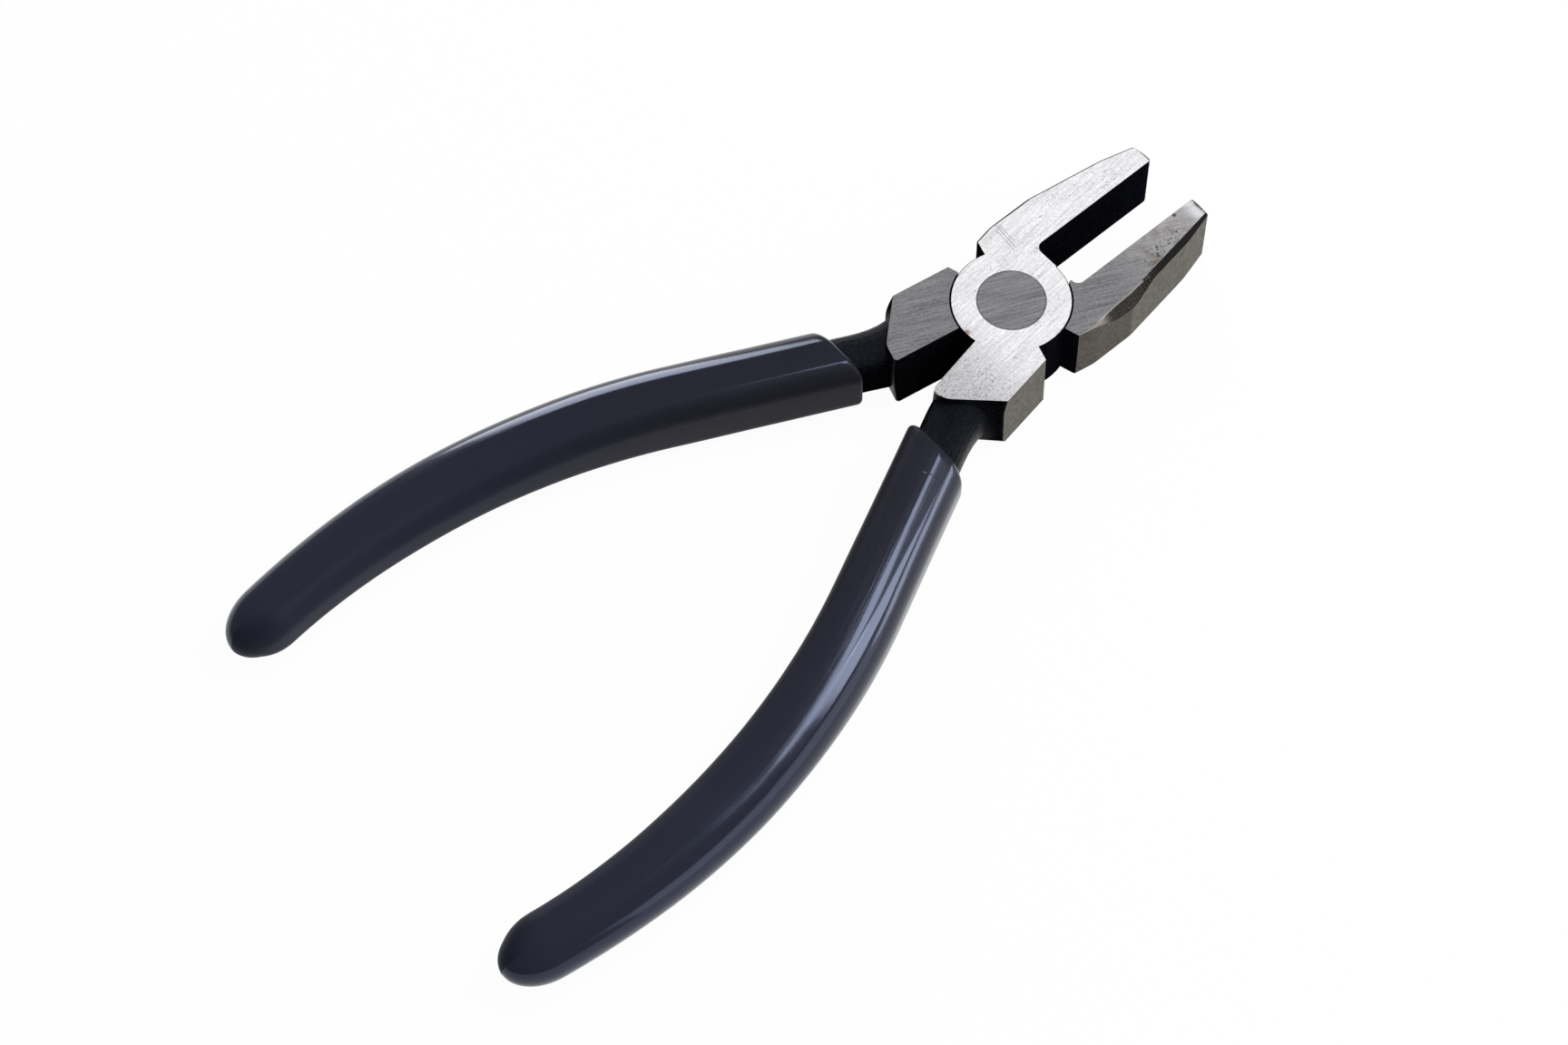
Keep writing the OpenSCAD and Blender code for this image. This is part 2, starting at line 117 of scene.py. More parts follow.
class Finish:
    """One material, and the few ways in which its nodes are made."""

    GRAIN_DETAIL = 3.0
    GRAIN_ROUGHNESS = 0.75

    def __init__(self, name):
        self.material = bpy.data.materials.new(name)
        self.material.use_nodes = True
        self.nodes = self.material.node_tree.nodes
        self.links = self.material.node_tree.links
        self.nodes.clear()

    def put(self, socket, value):
        """Link a field to a socket, or set a plain number, colour or vector on it."""
        if isinstance(value, Field):
            self.links.new(value.socket, socket)
        elif isinstance(value, tuple) and socket.type == "RGBA":
            socket.default_value = value + (1.0,)
        else:
            socket.default_value = value

    def add(self, kind, settings, values, output=0):
        """Make a node, its settings first and then its sockets; gives one output, or the node."""
        node = self.nodes.new(kind)
        for key, value in settings.items():
            setattr(node, key, value)
        for key, value in values.items():
            self.put(node.inputs[key], value)
        return node if output is None else Field(self, node.outputs[output])

    def mix(self, share, first, second):
        """Colour between first and second."""
        settings = {"data_type": "RGBA"}
        return self.add("ShaderNodeMix", settings, {0: share, 6: first, 7: second}, output=2)

    def blend(self, share, first, second):
        """Shader between first and second."""
        return self.add("ShaderNodeMixShader", {}, {0: share, 1: first, 2: second})

    def vector(self, x, y, z):
        return self.add("ShaderNodeCombineXYZ", {}, {0: x, 1: y, 2: z})

    def parts(self, vector):
        """The three numbers of a vector."""
        split = self.add("ShaderNodeSeparateXYZ", {}, {0: vector}, output=None)
        return [Field(self, out) for out in split.outputs]

    def place(self):
        """The point on the object in millimetres."""
        coordinate = self.add("ShaderNodeTexCoord", {}, {}, output="Object")
        values = {0: coordinate, "Scale": 1 / MM}
        return self.parts(self.add("ShaderNodeVectorMath", {"operation": "SCALE"}, values))

    def facing(self):
        """The surface's direction in the object's own frame."""
        return self.parts(self.add("ShaderNodeTexCoord", {}, {}, output="Normal"))

    def noise(self, place, size, detail, roughness, seed, stretch=(1.0, 1.0, 1.0)):
        """Noise from 0 to 1 with features of the given size in millimetres."""
        x, y, z = (value * (along / size) for value, along in zip(place, stretch))
        values = {
            "Vector": self.vector(x, y, z + seed),
            "Scale": 1.0,
            "Detail": detail,
            "Roughness": roughness,
        }
        return self.add("ShaderNodeTexNoise", {"noise_dimensions": "3D"}, values)

    def grain(self, place, angle, across, along, seed):
        """Noise drawn out along the direction that lies at an angle to the X axis in plan."""
        x, y, z = place
        c, s = math.cos(math.radians(angle)), math.sin(math.radians(angle))
        turned = (x * c + y * s, y * c - x * s, z)
        stretch = (1 / along, 1 / across, 1 / across)
        return self.noise(turned, 1.0, self.GRAIN_DETAIL, self.GRAIN_ROUGHNESS, seed, stretch)

    def bump(self, height, distance, strength):
        """Surface direction bumped by a height; distance is in millimetres."""
        values = {"Strength": strength, "Distance": distance * MM, "Height": height}
        return self.add("ShaderNodeBump", {}, values)

    def shader(self, **sockets):
        """Principled shader; a socket is named with _ for each space in its name."""
        values = {name.replace("_", " "): value for name, value in sockets.items()}
        return self.add("ShaderNodeBsdfPrincipled", {}, values)

    def surface(self, shader):
        """Finish the material with its surface shader."""
        self.add("ShaderNodeOutputMaterial", {}, {"Surface": shader}, output=None)
        return self.material


def contrast(*grains):
    """Noises added up round their middle, each with its own strength, and kept in 0 to 1."""
    return sum(((grain - 0.5) * strength for grain, strength in grains), 0.5).clamped()


def between(value, low, high, blur):
    """1 where the value lies between low and high."""
    return value.rise(low - blur, low + blur) * value.rise(high + blur, high - blur)


def plan_length(x, y):
    return (x * x + y * y).power(0.5)


def spot(place, centre, radius, blur):
    """A round spot in plan that fades over a share of its radius."""
    x, y, _ = place
    distance = plan_length(x - centre[0], y - centre[1])
    return distance.rise(radius, radius * (1 - blur))


def scratch(place, start, end, width):
    """A thin straight line in plan, soft at its ends and along its edges."""
    x, y, _ = place
    run = Vector(end) - Vector(start)
    length = run.length
    run.normalize()
    from_x, from_y = x - start[0], y - start[1]
    along = from_x * run.x + from_y * run.y
    across = abs(from_y * run.x - from_x * run.y)
    return between(along, 0.0, length, 0.5) * across.rise(width, width * 0.3)


def specks(finish, place, size, level, seed):
    """Small scattered pits: the highest peaks of a noise."""
    peaks = finish.noise(place, size, detail=4.0, roughness=0.7, seed=seed)
    return peaks.rise(level, level + 0.06)


# ---------------------------------------------------------------- steel
# Face with the eye, ground bright
BRIGHT_DARK, BRIGHT_PALE = (0.50, 0.50, 0.52), (0.86, 0.86, 0.87)
DULLED_SHOULDER = (0.34, 0.34, 0.35)
CUT = (0.20, 0.20, 0.21)
SHADED_EDGE = (0.07, 0.07, 0.07)
RUST = (0.19, 0.085, 0.035)

# Far face, brushed grey
BRUSHED_DARK, BRUSHED_PALE = (0.092, 0.090, 0.093), (0.262, 0.262, 0.273)
WORN = (0.38, 0.375, 0.38)
BARE_TIP = (0.62, 0.62, 0.64)
BROWNED = (0.16, 0.115, 0.09)
PIT = (0.035, 0.030, 0.028)

# Ground flanks of the shoulder and the jaw, and the bevel
GROUND_DARK, GROUND_PALE = (0.089, 0.085, 0.072), (0.188, 0.181, 0.160)
# Rear of the jaw's side: darker with painted shade, and browner in tone
SHADED_REAR_DARK, SHADED_REAR_PALE = (0.069, 0.061, 0.051), (0.141, 0.128, 0.114)
BEVEL_DARK, BEVEL_PALE = (0.014, 0.012, 0.011), (0.056, 0.050, 0.045)
BEVEL_MARK = (0.30, 0.29, 0.28)
BEVEL_FRONT, BEVEL_REAR = (0.014, 0.013, 0.013), (0.22, 0.21, 0.20)
# Pale line along the bevel's edge: painted highlight on a worn edge
BEVEL_EDGE_HIGHLIGHT = (0.55, 0.55, 0.56)
TIP_END = (0.055, 0.055, 0.055)

# Forging scale, and its sheen where it is oiled
SCALE_DARK, SCALE_PALE = (0.0016, 0.0017, 0.0022), (0.0085, 0.0095, 0.0130)
OIL_TINT = (0.55, 0.68, 1.0)

# Rivet
RIVET_DARK, RIVET_PALE = (0.095, 0.095, 0.099), (0.255, 0.255, 0.266)
RIVET_STREAK = (0.30, 0.30, 0.31)
RIVET_RIM = (0.035, 0.033, 0.032)

# Slope of the jaw's back along the long flat and along the tip, and the cosine of each
FLAT_SLOPE, FLAT_COSINE = 0.157, 0.99
TIP_SLOPE, TIP_COSINE = 0.272, 0.965


def ground_faces(place, facing):
    """How far a point belongs to each ground face and to the neck, by its place and direction."""
    x, y, z = place
    facing_x, facing_y, facing_z = facing
    lean = math.radians(SHOULDER_ANGLE)
    facing_flank = facing_x * math.sin(lean) - facing_y * math.cos(lean)
    out = x * math.sin(lean) - y * math.cos(lean)
    along = -x * math.cos(lean) - y * math.sin(lean)
    on_heel = along.rise(HEEL_LENGTH + 0.9, HEEL_LENGTH + 0.7)
    past_heel = along.rise(HEEL_LENGTH + 1.5, HEEL_LENGTH + 4.0)
    on_back = facing_y.rise(0.80, 0.90) * y.rise(6.0, 6.5)
    under_back = facing_z.rise(-0.10, -0.20) * facing_y.rise(0.10, 0.16) * y.rise(5.5, 6.0)
    return SimpleNamespace(
        eye_face=facing_z.rise(0.90, 0.97) * z.rise(HEAD - 0.3, HEAD - 0.2),
        far_face=facing_z.rise(-0.975, -0.99) * z.rise(0.3, 0.2),
        flank=facing_flank.rise(0.94, 0.97) * out.rise(8.9, 9.05) * on_heel,
        jaw_side=on_back * x.rise(2.85, 3.15),
        bevel=under_back * x.rise(2.6, 2.9),
        tip=facing_x.rise(0.5, 0.7) * x.rise(JAW_REACH - 1.0, JAW_REACH - 0.8),
        neck=past_heel * facing_flank.rise(-0.75, -0.35),
    )


def grinding_marks(finish, place):
    """Noises that the ground faces share: lines of the grinding, a speckle and soft clouds."""
    return SimpleNamespace(
        fine=finish.grain(place, angle=5.0, across=0.16, along=5.0, seed=3.0),
        coarse=finish.grain(place, angle=8.0, across=0.50, along=9.0, seed=11.0),
        shallow=finish.grain(place, angle=25.0, across=0.19, along=8.0, seed=23.0),
        broad=finish.grain(place, angle=22.0, across=0.60, along=12.0, seed=37.0),
        speckle=finish.noise(place, size=0.45, detail=5.0, roughness=0.75, seed=53.0),
        cloud=finish.noise(place, size=3.5, detail=2.0, roughness=0.5, seed=5.0),
    )


def edge_shadow(place):
    """The narrow dark edge along the back of the jaw, widest a third of the way to the tip."""
    x, y, _ = place
    below_crest = JAW_CREST - y
    below_flat = (JAW_CREST - y - (x - FLAT_START) * FLAT_SLOPE) * FLAT_COSINE
    below_tip = (FLAT_END_HEIGHT - y - (x - FLAT_END) * TIP_SLOPE) * TIP_COSINE
    width = 0.08 + 0.34 * between(x, 7.0, 15.0, 6.0)
    from_edge = below_crest.least(below_flat).least(below_tip) - width
    return from_edge.rise(0.06, -0.02) * x.rise(4.5, 5.0)


def eye_face_pits(finish, place, cloud):
    """Pits of the face with the eye: in patches, over the shoulder and near the jaw's tip."""
    x, _, _ = place
    patches = specks(finish, place, size=0.34, level=0.60, seed=31.0) * cloud.rise(0.35, 0.65)
    shoulder = specks(finish, place, size=0.32, level=0.55, seed=47.0) * x.rise(-5.0, -12.0)
    jaw = specks(finish, place, size=0.40, level=0.565, seed=71.0)
    jaw = jaw * spot(place, centre=(24.5, 6.4), radius=4.8, blur=0.9)
    return patches.most(shoulder * 0.8).most(jaw * 0.6)


def eye_face_colour(finish, place, marks, pits):
    """Bright grinding, duller over the shoulder, with cuts, pits, a shaded edge and some rust."""
    x, _, _ = place
    streaks = contrast((marks.fine, 2.6), (marks.speckle, 1.8))
    bright = finish.mix(streaks, BRIGHT_DARK, BRIGHT_PALE)
    bright = finish.mix(marks.coarse.rise(0.50, 0.66) * 0.25, bright, BRIGHT_DARK)
    dulled = x.rise(-5.0, -16.0) * (0.15 + contrast((marks.speckle, 2.0)))
    bright = finish.mix(dulled, bright, DULLED_SHOULDER)
    cuts = scratch(place, start=(6.90, 10.9), end=(6.50, 6.2), width=0.13)
    cuts = cuts.most(scratch(place, start=(7.35, 10.6), end=(7.00, 7.0), width=0.10))
    cuts = cuts.most(scratch(place, start=(6.40, 10.2), end=(6.00, 5.9), width=0.10))
    bright = finish.mix(cuts * 0.6, bright, CUT)
    bright = finish.mix(pits * 0.75, bright, PIT)
    shaded_tip = x.rise(JAW_REACH - 0.40, JAW_REACH - 0.15)
    bright = finish.mix((edge_shadow(place) * 0.85).most(shaded_tip * 0.7), bright, SHADED_EDGE)
    blotches = finish.noise(place, size=0.4, detail=3.0, roughness=0.6, seed=9.0)
    rust = spot(place, centre=(-8.3, 0.2), radius=0.75, blur=0.9) * (0.35 + blotches)
    return finish.mix(rust.clamped(), bright, RUST)


def far_face_pits(finish, place):
    """Pits of the far face: fine ones along the outer half of the jaw, and a few large ones."""
    x, y, _ = place
    pits = specks(finish, place, size=0.50, level=0.555, seed=83.0)
    pits = pits * between(x, 18.0, 26.5, 2.5) * y.rise(5.5, 7.5)
    for centre, radius in (
        ((27.2, 4.75), 0.42), ((21.6, 7.0), 0.30), ((25.5, 7.0), 0.22), ((20.9, 7.9), 0.26),
        ((19.6, 8.75), 0.20), ((23.6, 7.3), 0.22), ((5.8, 8.8), 0.16), ((17.4, 6.8), 0.16),
    ):
        pits = pits.most(spot(place, centre, radius, blur=0.6))
    return pits


def far_face_colour(finish, place, marks, pits):
    """Grey brushed steel, paler and browned towards the bare, chipped tip of the jaw."""
    x, _, _ = place
    brushed = contrast((marks.shallow, 2.2), (marks.broad, 0.6), (marks.speckle, 1.6))
    grey = finish.mix(brushed, BRUSHED_DARK, BRUSHED_PALE)
    paler = x.rise(11.0, 29.0) * (0.22 + marks.cloud * 0.5 + brushed * 0.5)
    grey = finish.mix(paler.clamped(), grey, WORN)
    grey = finish.mix(x.rise(28.4, 30.0) * (0.4 + brushed * 0.8).clamped(), grey, BARE_TIP)
    stains = finish.noise(place, size=1.6, detail=3.0, roughness=0.6, seed=61.0)
    brown = stains.rise(0.45, 0.7) * between(x, 17.0, 27.0, 3.0)
    grey = finish.mix(brown * 0.6, grey, BROWNED)
    flakes = finish.noise(place, size=0.5, detail=3.0, roughness=0.6, seed=67.0)
    chips = x.rise(30.3, 30.9) * flakes.rise(0.42, 0.55)
    return finish.mix(pits.most(chips) * 0.85, grey, PIT)


def flank_colours(finish, place):
    """Warm grey of the shoulder's flank, and of the jaw's side, whose rear is darker and browner:
    painted shade where the side turns.
    """
    x, _, _ = place
    grain = finish.noise(
        place, size=0.45, detail=6.0, roughness=0.8, seed=13.0, stretch=(0.6, 0.6, 1.0)
    )
    grain = contrast((grain, 4.0))
    ground = finish.mix(grain, GROUND_DARK, GROUND_PALE)
    rear = finish.mix(grain, SHADED_REAR_DARK, SHADED_REAR_PALE)
    # The jaw's side behind the long flat takes the darker colour, painted shade for its turned
    # face
    return ground, finish.mix(x.rise(FLAT_START - 0.3, FLAT_START + 0.1), rear, ground)


def bevel_colour(finish, place, facing_z):
    """Dark bevel with marks across it, a paler rear and a pale line along its edge: a painted
    highlight on a worn edge.
    """
    x, _, z = place
    across = finish.grain(place, angle=96.0, across=0.16, along=3.0, seed=29.0)
    bevel = finish.mix(contrast((across, 3.2)), BEVEL_DARK, BEVEL_PALE)
    bevel = finish.mix(across.rise(0.59, 0.68) * x.rise(19.0, 15.0) * 0.6, bevel, BEVEL_MARK)
    bevel = finish.mix(x.rise(14.5, 20.0), bevel, BEVEL_FRONT)
    bevel = finish.mix(x.rise(9.5, 7.0), bevel, BEVEL_REAR)
    # Pale line along the bevel's upper edge: painted edge highlight over the worn steel
    worn_edge_highlight = z.rise(0.34, 0.14) * facing_z.rise(-0.75, -0.6)
    worn_edge_highlight = worn_edge_highlight * x.rise(3.0, 6.0) * x.rise(24.0, 20.0)
    return finish.mix(worn_edge_highlight * (0.1 + across * 0.8), bevel, BEVEL_EDGE_HIGHLIGHT)


def forged_steel(name, side):
    """Finish of one half; side is 1 where its eye is on top and -1 where it is turned over."""
    finish = Finish(name)
    x, y, z = finish.place()
    facing_x, facing_y, facing_z = finish.facing()
    if side < 0:
        y, z, facing_y, facing_z = -y, HEAD - z, -facing_y, -facing_z
    place = (x, y, z)
    faces = ground_faces(place, (facing_x, facing_y, facing_z))
    marks = grinding_marks(finish, place)
    eye_pits = eye_face_pits(finish, place, marks.cloud)
    far_pits = far_face_pits(finish, place)

    # Forging scale with a blue cast and a fine grain, and the ground faces over it
    grit = finish.noise(place, size=0.36, detail=5.0, roughness=0.8, seed=17.0)
    scale = finish.mix(grit.rise(0.42, 0.66), SCALE_DARK, SCALE_PALE)
    shoulder_ground, jaw_ground = flank_colours(finish, place)
    colour = scale
    for share, own_colour in (
        (faces.jaw_side, jaw_ground),
        (faces.bevel, bevel_colour(finish, place, facing_z)),
        (faces.flank, shoulder_ground),
        (faces.tip, TIP_END),
        (faces.far_face, far_face_colour(finish, place, marks, far_pits)),
        (faces.eye_face, eye_face_colour(finish, place, marks, eye_pits)),
    ):
        colour = finish.mix(share, colour, own_colour)

    bare = faces.eye_face.most(faces.far_face).most(faces.flank)
    bare = bare.most(faces.jaw_side).most(faces.bevel).clamped()
    relief = marks.fine * 0.5 + marks.shallow * 0.3 + marks.coarse * 0.2
    relief = relief - eye_pits * 0.8 - far_pits * 0.8
    height = bare * relief * 0.6 + (1 - bare) * grit
    dry = finish.shader(
        Base_Color=colour,
        Metallic=bare * 0.25,
        Roughness=0.40 + grit * 0.12 + bare * (0.06 + marks.fine * 0.14),
        Specular_IOR_Level=0.0,
        Normal=finish.bump(height, distance=0.012, strength=0.7),
    )
    oiled = finish.shader(
        Base_Color=scale,
        Roughness=0.24 + grit * 0.14,
        Specular_IOR_Level=0.07,
        Specular_Tint=OIL_TINT,
        Normal=finish.bump(grit, distance=0.120, strength=1.0),
    )
    return finish.surface(finish.blend(faces.neck * (1 - bare), dry, oiled))


def rivet_steel():
    """Rivet ground flush: mid grey with a dark rim, and brushing at a shallow angle."""
    finish = Finish("rivet_ground_grey")
    x, y, _ = place = finish.place()
    shallow = finish.grain(place, angle=-25.0, across=0.19, along=9.0, seed=19.0)
    fine = finish.grain(place, angle=-22.0, across=0.34, along=12.0, seed=41.0)
    speckle = finish.noise(place, size=0.45, detail=5.0, roughness=0.75, seed=57.0)
    grey = finish.mix(contrast((shallow, 2.3), (speckle, 1.2)), RIVET_DARK, RIVET_PALE)
    grey = finish.mix(fine.rise(0.52, 0.70) * 0.5, grey, RIVET_STREAK)
    rim = plan_length(x, y).rise(RIVET_RADIUS - 0.30, RIVET_RADIUS + 0.02)
    return finish.surface(finish.shader(
        Base_Color=finish.mix(rim * 0.75, grey, RIVET_RIM),
        Metallic=0.25,
        Roughness=0.44 + shallow * 0.12,
        Specular_IOR_Level=0.0,
        Normal=finish.bump(shallow, distance=0.010, strength=0.6),
    ))


# ---------------------------------------------------------------- shape of a handle
def mix(a, b, t):
    return a + (b - a) * t


def ease(t):
    """Smooth step from 0 to 1."""
    t = min(1.0, max(0.0, t))
    return t * t * (3 - 2 * t)


def heading(s):
    """Angle of the handle's axis at the distance s from the mouth of the grip."""
    return math.radians(HANDLE_ANGLE) - max(0.0, s - STRAIGHT_RUN) / BEND_RADIUS


def along_dir(a):
    return Vector((-math.cos(a), -math.sin(a)))


def out_dir(a):
    return Vector((math.sin(a), -math.cos(a)))


def bend_centre():
    """Centre in plan of the bend that follows the handle's straight run."""
    first = heading(0)
    return Vector(MOUTH) + STRAIGHT_RUN * along_dir(first) - BEND_RADIUS * out_dir(first)


def handle_axis(s):
    """Point in plan on the handle's axis at the distance s from the mouth of the grip."""
    if s < STRAIGHT_RUN:
        return Vector(MOUTH) + s * along_dir(heading(0))
    return bend_centre() + BEND_RADIUS * out_dir(heading(s))


def across_handle(x, y):
    """Distance of a field's point from the handle's axis, towards the palm, in plan."""
    out, run = out_dir(heading(0)), along_dir(heading(0))
    centre = bend_centre()
    side_x, side_y = x - centre.x, -y - centre.y
    straight = side_x * out.x + side_y * out.y
    past_straight = (side_x * run.x + side_y * run.y).rise(-0.5, 0.5)
    return straight + (plan_length(side_x, side_y) - straight) * past_straight - BEND_RADIUS


def change(s, start, run):
    """Share of a change that starts and runs over shares of the tang's length."""
    return ease((s / TANG_LENGTH - start) / run)


def half_width(s):
    swelling = mix(MOUTH_WIDTH, PALM_WIDTH, change(s, *SWELLING))
    return mix(swelling, END_WIDTH, change(s, *NARROWING)) / 2


def half_thickness(s):
    thinning = mix(HEAD, PALM_THICKNESS, change(s, *THINNING))
    return mix(thinning, END_THICKNESS, change(s, *LAST_THINNING)) / 2


# ---------------------------------------------------------------- coating of the grips
# Slate of the coating; towards the end of the grip it is lighter and bluer, a painted sheen
SLATE_AT_MOUTH, SLATE_SHEEN_AT_END = (0.0112, 0.0104, 0.0150), (0.0140, 0.0152, 0.0280)
SLATE_CLOUD = (0.0170, 0.0170, 0.0250)
SLATE_FLECK = (0.030, 0.031, 0.045)
SLATE_TINT = (0.61, 0.70, 1.0)


def dull_line(place, across, facing_z):
    """Dull strip on top of the front grip, which starts at the mouth and narrows to nothing."""
    x, y, _ = place
    inner, outer, narrowing, start, blur = 1.8, 3.2, 0.045, -24.0, 0.15
    past_inner = across.rise(inner - blur, inner + blur)
    short_of_outer = (outer - (start - x) * narrowing - across).rise(-blur, blur)
    return past_inner * short_of_outer * facing_z.rise(0.3, 0.5) * y.rise(-5.0, -8.0)


def dipped_coating():
    """Dark slate coating: glossy and slightly uneven, dull where the handles face each other."""
    finish = Finish("dipped_slate_coating")
    x, y, z = place = finish.place()
    _, facing_y, facing_z = finish.facing()
    across = across_handle(x, abs(y))
    cloud = finish.noise(place, size=9.0, detail=2.0, roughness=0.5, seed=3.0)
    fleck = finish.noise(place, size=0.30, detail=3.0, roughness=0.6, seed=7.0)
    streak = finish.noise(
        (x, across, z), size=1.0, detail=3.0, roughness=0.6, seed=15.0, stretch=(0.07, 2.2, 1.1)
    )
    # Lighter, bluer slate towards the grip's end: a painted sheen
    colour = finish.mix(x.rise(-25.0, -95.0), SLATE_AT_MOUTH, SLATE_SHEEN_AT_END)
    colour = finish.mix(cloud * 0.4, colour, SLATE_CLOUD)
    colour = finish.mix(fleck.rise(0.60, 0.75) * 0.25, colour, SLATE_FLECK)
    fold = scratch(place, start=(-28.0, -12.8), end=(-27.2, -14.2), width=0.13)
    height = streak * 0.8 + fleck * 0.15 - fold * facing_z.rise(0.5, 0.7) * 4.0
    shared = {
        "Base_Color": colour,
        "Specular_Tint": SLATE_TINT,
        "Normal": finish.bump(height, distance=0.020, strength=0.5),
    }
    rough = 0.07 + streak * 0.07 + fleck * 0.03
    glossy = finish.shader(Roughness=rough, Specular_IOR_Level=0.5, **shared)
    rubbed = finish.shader(Roughness=0.42 + fleck * 0.10, Specular_IOR_Level=0.12, **shared)
    inner_side = (-facing_y * y).rise(0.1, 2.5)
    share = inner_side.most(dull_line(place, across, facing_z) * 0.9)
    return finish.surface(finish.blend(share, glossy, rubbed))


# ---------------------------------------------------------------- mesh of the grips
CORNER_POINTS = 14
LIP_RINGS = 8
SIDE_RINGS = 110
BORE_RINGS = 40
CAP_RINGS = 8

# Share of an inset that an edge's radius loses, and the largest radius that a section takes
EDGE_LOSS = 0.8
FULLEST_EDGE = 0.98

# Unevenness of the coating in millimetres, and its finer part
UNEVEN_DEPTH, UNEVEN_SIZE = 0.012, 7.0
FINER_SHARE, FINER_TIMES, FINER_SHIFT = 0.4, 2.3, Vector((7.0, 3.0, 5.0))


def section(wide, thick, inset):
    """Section with the palm's side rounder than the inner side, as across and up distances."""
    points = []
    for quarter in range(4):
        palm = quarter in (0, 3)
        edge = (PALM_EDGE if palm else INNER_EDGE) - EDGE_LOSS * inset
        r = min(edge, FULLEST_EDGE * min(wide, thick))
        across = (wide - r) * (1 if palm else -1)
        up = (thick - r) * (1 if quarter < 2 else -1)
        for i in range(CORNER_POINTS):
            a = math.radians(90 * (quarter + i / (CORNER_POINTS - 1)))
            points.append((across + r * math.cos(a), up + r * math.sin(a)))
    return points


def ring(s, inset, side, share=1, cut=0):
    """Points round the handle at the distance s, turned over for the back half.

    The inset is the depth under the skin; over a cap, share narrows the ring and cut thins it.
    """
    a = heading(s)
    slant = math.tan(heading(0)) * (1 - ease(s / SQUARE_RUN))
    across = out_dir(a) + slant * along_dir(a)
    centre = handle_axis(s)
    wide = (half_width(s) - inset) * share
    thick = half_thickness(s) - inset - cut
    points = []
    for p, q in section(wide, thick, inset):
        plan = centre + across * p
        points.append((plan.x * MM, side * plan.y * MM, (HEAD / 2 + side * q) * MM))
    return points


def cap_length(end, inset):
    return CAP_STRETCH * (half_width(end) - inset)


def cap_rings(end, inset, side, count):
    """Rings that close over the end; the last one keeps a small flat."""
    edge = CAP_EDGE * (half_thickness(end) - inset)
    length = cap_length(end, inset)
    last_gap = 0.15
    rings = []
    for i in range(1, count + 1):
        a = math.radians(90 * (1 - i / (count + last_gap)))
        left = length * (1 - math.cos(a))
        cut = edge * (1 - math.sqrt(1 - max(0.0, 1 - left / length) ** 2))
        rings.append(ring(end - left, inset, side, math.sin(a), cut))
    return rings


def outer_rings(length, side):
    """Rings round the lip of the mouth, along the skin and over the cap."""
    cap_start = length - cap_length(length, 0)
    rings = []
    for i in range(LIP_RINGS):
        a = math.radians(90 * i / LIP_RINGS)
        rings.append(ring(LIP_RADIUS * (1 - math.cos(a)), LIP_RADIUS * (1 - math.sin(a)), side))
    for i in range(SIDE_RINGS + 1):
        rings.append(ring(mix(LIP_RADIUS, cap_start, i / SIDE_RINGS), 0, side))
    return rings + cap_rings(length, 0, side, 2 * CAP_RINGS)


def bore_rings(side):
    """Rings of the bore, along the tang and round its end."""
    bore_end = TANG_LENGTH - cap_length(TANG_LENGTH, COATING)
    rings = [ring(bore_end * i / BORE_RINGS, COATING, side) for i in range(BORE_RINGS + 1)]
    return rings + cap_rings(TANG_LENGTH, COATING, side, CAP_RINGS)


def skin_of_rings(rings, first):
    """Faces between each ring and the next; first is the number of the first ring's point."""
    count = len(rings[0])
    faces = []
    for k in range(len(rings) - 1):
        for i in range(count):
            j = (i + 1) % count
            a, b = first + k * count, first + (k + 1) * count
            faces.append((a + i, b + i, b + j, a + j))
    return faces


def make_normals_point_out(mesh):
    work = bmesh.new()
    work.from_mesh(mesh)
    bmesh.ops.recalc_face_normals(work, faces=work.faces)
    work.to_mesh(mesh)
    work.free()


def grip_mesh(name, outer, bore):
    """Closed mesh of the skin and the bore, each with its end face, joined at the mouth."""
    count = len(outer[0])
    first_bore = len(outer) * count
    last_outer = first_bore - count
    last_bore = first_bore + (len(bore) - 1) * count
    faces = skin_of_rings(outer, 0) + skin_of_rings(bore, first_bore)
    faces += [tuple(range(first, first + count)) for first in (last_outer, last_bore)]
    for i in range(count):
        j = (i + 1) % count
        faces.append((i, j, first_bore + j, first_bore + i))
    mesh = bpy.data.meshes.new(name)
    mesh.from_pydata([point for points in outer + bore for point in points], [], faces)
    make_normals_point_out(mesh)
    return mesh


def make_uneven(mesh):
    """Slight unevenness of a dipped coating, as height along the surface's direction."""
    moved = []
    for vertex in mesh.vertices:
        place = vertex.co / MM / UNEVEN_SIZE
        finer = noise.noise(place * FINER_TIMES + FINER_SHIFT)
        height = noise.noise(place) + FINER_SHARE * finer
        moved.append(vertex.co + vertex.normal * (height * UNEVEN_DEPTH * MM))
    for vertex, place in zip(mesh.vertices, moved):
        vertex.co = place


def make_grip(name, node, body, side, end_coating, coating_material):
    """Dipped grip of one half: the skin, the rounded lip and the bore round the tang."""
    mesh = grip_mesh(name, outer_rings(TANG_LENGTH + end_coating, side), bore_rings(side))
    make_uneven(mesh)
    mesh.shade_smooth()
    mesh.materials.append(coating_material)
    grip = bpy.data.objects.new(name, mesh)
    bpy.context.scene.collection.objects.link(grip)
    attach(grip, body)
    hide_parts(node)


# ---------------------------------------------------------------- floor, lamps and camera
MIDDLE = Vector((-0.045, 0.0, 0.005))
LAMP_DISTANCE = 0.9
WORLD_LEVEL = 0.28

FLOOR_REACH = 3.0
FLOOR_HEIGHT = -0.0004
FLOOR_COLOUR, WHITE = (0.86, 0.86, 0.86), (1.0, 1.0, 1.0)
FLOOR_WHITENESS = 0.96

SENSOR_WIDTH, LENS = 36.0, 88.79
CAMERA_PLACE = (-0.214084, -0.204736, 0.470916)
CAMERA_TURN = (29.3585, 0.5788, -40.962)


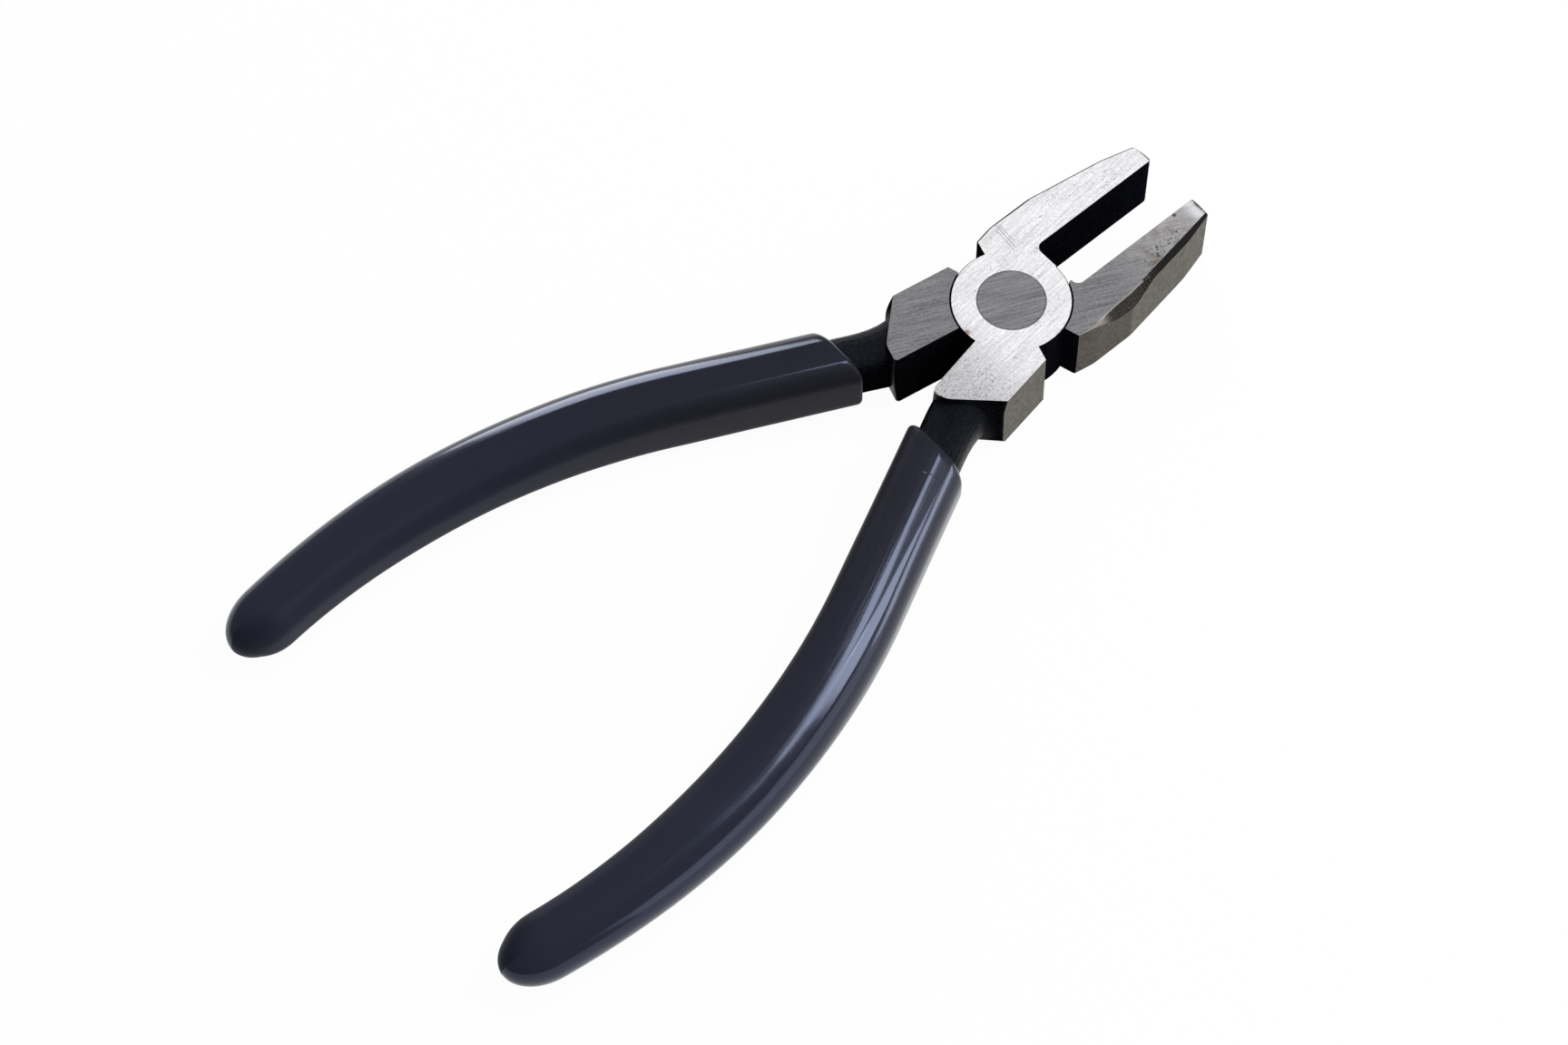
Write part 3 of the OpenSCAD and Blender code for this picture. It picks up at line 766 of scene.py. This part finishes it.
def make_floor():
    """Plain pale floor that shows nearly white and keeps a faint shadow."""
    signs = ((-1, -1), (1, -1), (1, 1), (-1, 1))
    mesh = bpy.data.meshes.new("floor")
    mesh.from_pydata([(a * FLOOR_REACH, b * FLOOR_REACH, 0) for a, b in signs], [], [(0, 1, 2, 3)])
    floor = bpy.data.objects.new("floor", mesh)
    bpy.context.scene.collection.objects.link(floor)
    floor.location.z = FLOOR_HEIGHT
    finish = Finish("pale_floor")
    plain = finish.add("ShaderNodeBsdfDiffuse", {}, {"Color": FLOOR_COLOUR})
    white = finish.add("ShaderNodeEmission", {}, {"Color": WHITE, "Strength": 1.0})
    seen, glossy, through = (
        finish.add("ShaderNodeLightPath", {}, {}, output=f"Is {ray} Ray")
        for ray in ("Camera", "Glossy", "Transmission")
    )
    share = seen.most(glossy).most(through) * FLOOR_WHITENESS
    mesh.materials.append(finish.surface(finish.blend(share, plain, white)))


def make_world():
    """Even grey light from all round."""
    world = bpy.data.worlds.new("studio")
    world.use_nodes = True
    background = world.node_tree.nodes["Background"]
    background.inputs["Color"].default_value = (WORLD_LEVEL, WORLD_LEVEL, WORLD_LEVEL, 1.0)
    bpy.context.scene.world = world


def make_lamp(name, direction, long_side, size, brightness):
    """Soft rectangular lamp that looks at the middle of the tool, with its long side as given."""
    lamp = bpy.data.lights.new(name, "AREA")
    lamp.shape = "RECTANGLE"
    lamp.size, lamp.size_y = size
    lamp.energy = brightness * math.pi * size[0] * size[1]
    towards = Vector(direction).normalized()
    upward = towards.cross(Vector(long_side)).normalized()
    turn = Matrix((upward.cross(towards), upward, towards)).transposed()
    holder = bpy.data.objects.new(name, lamp)
    holder.matrix_world = Matrix.Translation(MIDDLE + towards * LAMP_DISTANCE) @ turn.to_4x4()
    bpy.context.scene.collection.objects.link(holder)


def make_camera():
    """Camera at the photograph's place, found from the outline of the tool."""
    camera = bpy.data.cameras.new("camera")
    camera.sensor_width = SENSOR_WIDTH
    camera.lens = LENS
    holder = bpy.data.objects.new("camera", camera)
    holder.location = CAMERA_PLACE
    holder.rotation_euler = [math.radians(a) for a in CAMERA_TURN]
    bpy.context.scene.collection.objects.link(holder)
    bpy.context.scene.camera = holder


# ---------------------------------------------------------------- scene
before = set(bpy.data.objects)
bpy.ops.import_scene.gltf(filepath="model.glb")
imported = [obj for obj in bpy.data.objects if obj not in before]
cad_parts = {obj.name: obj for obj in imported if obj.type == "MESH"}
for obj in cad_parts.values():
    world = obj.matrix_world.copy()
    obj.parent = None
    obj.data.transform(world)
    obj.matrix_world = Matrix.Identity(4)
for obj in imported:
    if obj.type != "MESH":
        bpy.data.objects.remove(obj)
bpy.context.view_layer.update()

finishes = {
    "front_half": forged_steel("front_forged_steel", 1),
    "back_half": forged_steel("back_forged_steel", -1),
    "joint_rivet": rivet_steel(),
}
for node, material in finishes.items():
    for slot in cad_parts[node].material_slots:
        slot.material = material

coating = dipped_coating()
make_grip("front_grip", "front_half_grip", "front", 1, FRONT_END_COATING, coating)
make_grip("back_grip", "back_half_grip", "back", -1, BACK_END_COATING, coating)

make_floor()
make_world()

# Each lamp: its direction from the tool, its long side, its size in metres and its brightness
make_lamp("upper_window", (0.383, 0.047, 0.923), (0.030, -0.388, 0.0), (0.370, 0.200), 9.0)
make_lamp("lower_window", (0.553, -0.320, 0.769), (0.197, -0.424, -0.318), (0.533, 0.285), 9.0)
make_lamp("low_right_strip", (0.78, -0.52, 0.35), (0.5, -0.866, 0.0), (0.32, 0.16), 6.2)
make_lamp("low_right_card", (0.526, -0.811, 0.26), (0.839, 0.544, 0.0), (1.0, 0.45), 1.5)
make_lamp("far_strip", (0.422, 0.846, 0.326), (0.0, -0.36, 0.93), (0.62, 0.237), 7.5)
make_camera()
bpy.context.scene.view_settings.view_transform = "Standard"
